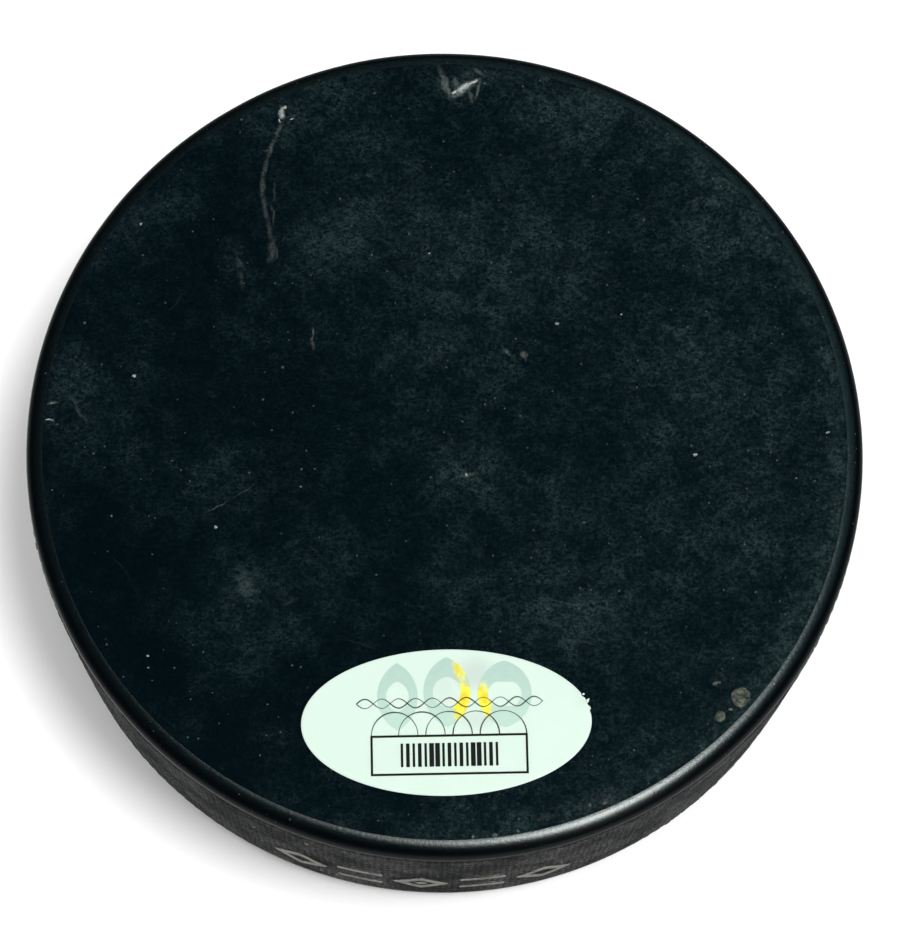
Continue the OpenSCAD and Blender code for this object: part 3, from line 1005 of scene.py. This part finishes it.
def shoulder_material():
    mat, n, b = material("rubber_shoulder")
    p = n.mm()
    grain = n.noise(p, 4.2, 3, 0.75)
    cloud = n.noise(p, 0.35, 3, 0.6)
    pits = sprinkle(n, p, 1.5, 0.10, 0.30, 1.0)
    scuff = n.step(n.noise(p, 2.6, 3, 0.7), 0.60, 0.78)
    base = n.col(n.m("MULTIPLY", scuff, n.step(cloud, 0.4, 0.7)), (0.0, 0.0011, 0.0019), (0.0065, 0.0115, 0.0120))
    # painted sheen: the face's lighter right side runs on over the start of the bend, most of it on the right
    x, y, z = n.xyz(p)
    r = n.v("LENGTH", n.join(x, y, 0.0))
    over = n.m("MULTIPLY", n.m("MULTIPLY", n.step(r, 37.5, 36.8), n.step(z, T - 1.2, T - 0.8)), n.step(x, -30.0, 34.0, 0.22, 1.0))
    over = n.m("MULTIPLY", over, n.step(n.noise(p, 3.4, 3, 0.75), 0.34, 0.66, 0.45, 1.25))
    base = n.col(over, base, (0.0060, 0.0150, 0.0165))
    base = n.col(n.m("MULTIPLY", pits, 0.5), base, (0.06, 0.065, 0.062))
    n.put(b.inputs["Base Color"], base)
    n.put(b.inputs["Roughness"], n.mix(n.m("MAXIMUM", pits, n.m("MULTIPLY", scuff, 0.5)), n.mix(cloud, 0.17, 0.22), 0.45))
    b.inputs["Specular IOR Level"].default_value = 0.65
    height = n.m("ADD", n.m("MULTIPLY", grain, 0.0165), n.m("ADD", n.m("MULTIPLY", pits, -0.012), n.m("MULTIPLY", n.noise(p, 2.2, 2, 0.5), 0.0045)))
    n.put(b.inputs["Normal"], n.bump(height, MM, 1.0))
    return mat


def land_material():
    mat, n, b = material("rubber_land")
    p = n.mm()
    x, y, z = n.xyz(p)
    # scuffs run round the rim, so the noise is stretched along it
    turn = n.m("MULTIPLY", n.m("ARCTAN2", y, x), R)
    round_ = n.join(n.m("MULTIPLY", turn, 0.35), n.m("MULTIPLY", z, 4.0), 0.0)
    streak = n.noise(round_, 1.0, 3, 0.65)
    cloud = n.noise(p, 0.30, 3, 0.6)
    nick = sprinkle(n, p, 0.9, 0.12, 0.30, 0.8)
    base = n.col(n.m("MULTIPLY", n.step(streak, 0.42, 0.72), n.step(cloud, 0.3, 0.7)), (0.0060, 0.0068, 0.0074), (0.0300, 0.0310, 0.0300))
    base = n.col(n.m("MULTIPLY", nick, 0.6), base, (0.16, 0.16, 0.15))
    n.put(b.inputs["Base Color"], base)
    n.put(b.inputs["Roughness"], n.mix(streak, 0.26, 0.48))
    height = n.m("ADD", n.m("MULTIPLY", streak, 0.006), n.m("MULTIPLY", nick, -0.03))
    n.put(b.inputs["Normal"], n.bump(height, MM, 1.0))
    return mat


def knurl_material():
    mat, n, b = material("rubber_knurl")
    p = n.mm()
    x, y, z = n.xyz(p)
    r = n.v("LENGTH", n.join(x, y, 0.0))
    fine = n.noise(p, 4.2, 3, 0.65)
    cloud = n.noise(p, 0.22, 3, 0.6)
    top = n.step(r, R - 0.10, R + 0.08)              # worn tops are paler than the grooves
    chalk = n.m("MULTIPLY", n.m("MULTIPLY", top, n.step(cloud, 0.34, 0.66, 0.30, 1.0)), n.step(fine, 0.35, 0.68, 0.25, 1.0))
    base = n.col(chalk, (0.0060, 0.0068, 0.0076), (0.1080, 0.1090, 0.1060))
    dust = n.m("MAXIMUM", sprinkle(n, p, 0.60, 0.26, 0.55, 0.80), sprinkle(n, p, 1.5, 0.14, 0.45, 0.55))
    dust = n.m("MULTIPLY", dust, n.step(fine, 0.30, 0.55, 0.35, 1.0))
    base = n.col(dust, base, (0.20, 0.19, 0.17))
    n.put(b.inputs["Base Color"], base)
    n.put(b.inputs["Roughness"], n.mix(n.m("MULTIPLY", top, fine), 0.62, 0.42))
    b.inputs["Specular IOR Level"].default_value = 0.22
    n.put(b.inputs["Normal"], n.bump(n.m("MULTIPLY", fine, 0.014), MM, 1.0))
    return mat


def mark_material():
    mat, n, b = material("rubber_mark_tops")
    p = n.mm()
    fine = n.noise(p, 3.6, 3, 0.65)
    cloud = n.noise(p, 0.9, 3, 0.6)
    rubbed = n.m("MULTIPLY", n.step(cloud, 0.30, 0.60, 0.45, 1.0), n.step(fine, 0.30, 0.62, 0.55, 1.0))
    n.put(b.inputs["Base Color"], n.col(rubbed, (0.05, 0.048, 0.044), (0.30, 0.285, 0.255)))
    n.put(b.inputs["Roughness"], n.mix(fine, 0.28, 0.50))
    n.put(b.inputs["Normal"], n.bump(n.m("MULTIPLY", fine, 0.010), MM, 1.0))
    return mat


def burr_material():
    mat, n, b = material("rubber_torn")
    p = n.mm()
    fine = n.noise(p, 6.0, 3, 0.7)
    n.put(b.inputs["Base Color"], n.col(n.step(fine, 0.35, 0.65), (0.11, 0.12, 0.115), (0.40, 0.42, 0.40)))
    n.put(b.inputs["Roughness"], n.mix(fine, 0.35, 0.6))
    n.put(b.inputs["Normal"], n.bump(n.m("MULTIPLY", fine, 0.01), MM, 1.0))
    return mat


def residue_material():
    mat, n, b = material("dried_residue")
    p = n.mm()
    fine = n.noise(p, 3.5, 3, 0.7)
    edge = n.noise(p, 1.2, 2, 0.5)
    n.put(b.inputs["Base Color"], n.col(n.m("MULTIPLY", n.step(fine, 0.3, 0.65), n.step(edge, 0.35, 0.6)), (0.012, 0.022, 0.021), (0.115, 0.118, 0.088)))
    n.put(b.inputs["Roughness"], n.mix(fine, 0.5, 0.75))
    b.inputs["Specular IOR Level"].default_value = 0.2
    n.put(b.inputs["Normal"], n.bump(n.m("MULTIPLY", fine, 0.012), MM, 1.0))
    return mat


# ---------------------------------------------------------------- label materials
def label_axes(n, p):
    """Millimetres along and across the label."""
    x, y, z = n.xyz(p)
    c, s = math.cos(TILT), math.sin(TILT)
    dx, dy = n.m("SUBTRACT", x, LABEL[0]), n.m("SUBTRACT", y, LABEL[1])
    u = n.m("ADD", n.m("MULTIPLY", dx, c), n.m("MULTIPLY", dy, s))
    v = n.m("SUBTRACT", n.m("MULTIPLY", dy, c), n.m("MULTIPLY", dx, s))
    return n.join(u, v, 0.0)


def film_material():
    mat, n, b = material("film_mint")
    uv = label_axes(n, n.mm())
    cloud = n.noise(uv, 0.16, 2, 0.5)
    fibre = n.noise(uv, 3.0, 3, 0.6)
    base = n.col(n.m("ADD", n.m("MULTIPLY", cloud, 0.6), n.m("MULTIPLY", fibre, 0.4)), (0.515, 0.655, 0.560), (0.575, 0.695, 0.620))
    # pale silvery sheen between the shapes, and a breath of it round them
    sheen = oval(n, uv, 2.5, 4.3, 2.7, 2.2, 0.3, 0.80, 0.15)
    sheen = n.m("MAXIMUM", sheen, oval(n, uv, 2.9, 0.2, 2.4, 1.2, 0.1, 0.55, 0.1))
    sheen = n.m("MAXIMUM", sheen, oval(n, uv, -0.3, 3.4, 1.6, 2.6, 0.0, 0.35, 0.1))
    base = n.col(sheen, base, (0.455, 0.530, 0.490))
    warm = n.m("MAXIMUM", oval(n, uv, 0.6, 4.9, 1.5, 1.3, 0.8, 0.5, 0.0), oval(n, uv, 0.9, 1.9, 1.5, 1.2, 0.0, 0.35, 0.0))
    base = n.col(warm, base, (0.62, 0.60, 0.50))
    rim = n.v("LENGTH", n.place(uv, scale=(12.85, 6.55, 1.0)))
    base = n.col(n.step(rim, 0.985, 1.0, 0.0, 0.5), base, (0.62, 0.68, 0.66))
    speck = sprinkle(n, uv, 0.45, 0.11, 0.25, 0.35)
    base = n.col(speck, base, (0.30, 0.36, 0.33))
    n.put(b.inputs["Base Color"], base)
    n.put(b.inputs["Roughness"], n.mix(fibre, 0.30, 0.42))
    n.put(b.inputs["Normal"], n.bump(n.m("ADD", n.m("MULTIPLY", fibre, 0.0016), n.m("MULTIPLY", cloud, 0.006)), MM, 1.0))
    return mat


def foil_material():
    mat, n, b = material("foil_green")
    uv = label_axes(n, n.mm())
    u, v, w = n.xyz(uv)
    fine = n.noise(uv, 1.6, 2, 0.5)
    fade = n.step(v, -1.0, 5.5)
    base = n.col(fade, (0.400, 0.560, 0.480), (0.330, 0.470, 0.410))
    base = n.col(n.m("MULTIPLY", fine, 0.5), base, (0.44, 0.60, 0.52))
    # gold patches: painted glint of the hologram foil, broken into streaks
    painted_gold_glint = oval(n, uv, 1.55, 1.5, 1.15, 2.6, 0.0, 1.0, 0.55)
    painted_gold_glint = n.m("MAXIMUM", painted_gold_glint, oval(n, uv, 1.25, 4.7, 0.75, 1.5, 0.25, 0.85, 0.35))
    painted_gold_glint = n.m("MAXIMUM", painted_gold_glint, oval(n, uv, 3.25, 1.6, 1.0, 2.3, 0.0, 1.0, 0.5))
    streak = n.noise(n.place(uv, rot=(0, 0, math.radians(62)), scale=(1.8, 0.22, 1.0)), 1.0, 2, 0.6)
    painted_gold_glint = n.m("MULTIPLY", painted_gold_glint, n.step(streak, 0.22, 0.50, 0.55, 1.0))
    base = n.col(painted_gold_glint, base, n.col(n.step(fine, 0.35, 0.65), (0.70, 0.54, 0.005), (0.78, 0.79, 0.035)))
    n.put(b.inputs["Base Color"], base)
    n.put(b.inputs["Roughness"], n.mix(fine, 0.24, 0.38))
    n.put(b.inputs["Normal"], n.bump(n.m("MULTIPLY", streak, 0.002), MM, 1.0))
    return mat


def ink_material(name, dark, pale, thin):
    mat, n, b = material(name)
    p = n.mm()
    fine = n.noise(p, 7.0, 3, 0.65)
    skip = n.step(n.noise(p, 1.4, 3, 0.6), 0.62, 0.80)
    n.put(b.inputs["Base Color"], n.col(n.m("MULTIPLY", n.m("ADD", skip, n.step(fine, 0.55, 0.85)), thin), dark, pale))
    n.put(b.inputs["Roughness"], n.mix(fine, 0.42, 0.58))
    b.inputs["Specular IOR Level"].default_value = 0.15
    n.put(b.inputs["Normal"], n.bump(n.m("MULTIPLY", fine, 0.004), MM, 1.0))
    return mat


def adhesive_material():
    mat, n, b = material("adhesive_coat")
    p = n.mm()
    fine = n.noise(p, 3.0, 3, 0.6)
    n.put(b.inputs["Base Color"], n.col(fine, (0.42, 0.45, 0.40), (0.56, 0.58, 0.52)))
    n.put(b.inputs["Roughness"], n.mix(fine, 0.35, 0.6))
    n.put(b.inputs["Normal"], n.bump(n.m("MULTIPLY", fine, 0.006), MM, 1.0))
    return mat


mark_tops = mark_material()
mats = [shoulder_material(), land_material(), knurl_material(), mark_tops, face_material("rubber_under", None, 5)]
mats += [face_material(f"rubber_face_{k}", k, 1) for k in range(8)]
film = film_material()
foil = foil_material()
ink = ink_material("ink_black", (0.0018, 0.0020, 0.0022), (0.030, 0.036, 0.033), 0.4)
grey = ink_material("ink_grey", (0.040, 0.050, 0.047), (0.14, 0.17, 0.155), 0.7)

make_stage()
make_world()
make_key()
bpy.context.scene.view_settings.view_transform = "Standard"

puck = build_body(mats)
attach(puck, "root")
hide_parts("puck_body")
for o in build_marks([mats[M_KNURL], mark_tops]):
    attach(o, "root")
piece = build_film(film)
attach(piece, "root"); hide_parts("label_film")
for piece, slot in ((build_torn(burr_material()), "puck_rubber"), (build_residue(residue_material()), "puck_rubber"), (build_chips(film), "label_film")):
    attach(piece, "root")
piece = build_foil(foil)
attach(piece, "root"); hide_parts("label_foil")
for piece in build_print(ink, grey):
    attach(piece, "root"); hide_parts("label_print")
adhesive = adhesive_material()
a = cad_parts["label_adhesive"]
a.data.materials.clear()
a.data.materials.append(adhesive)
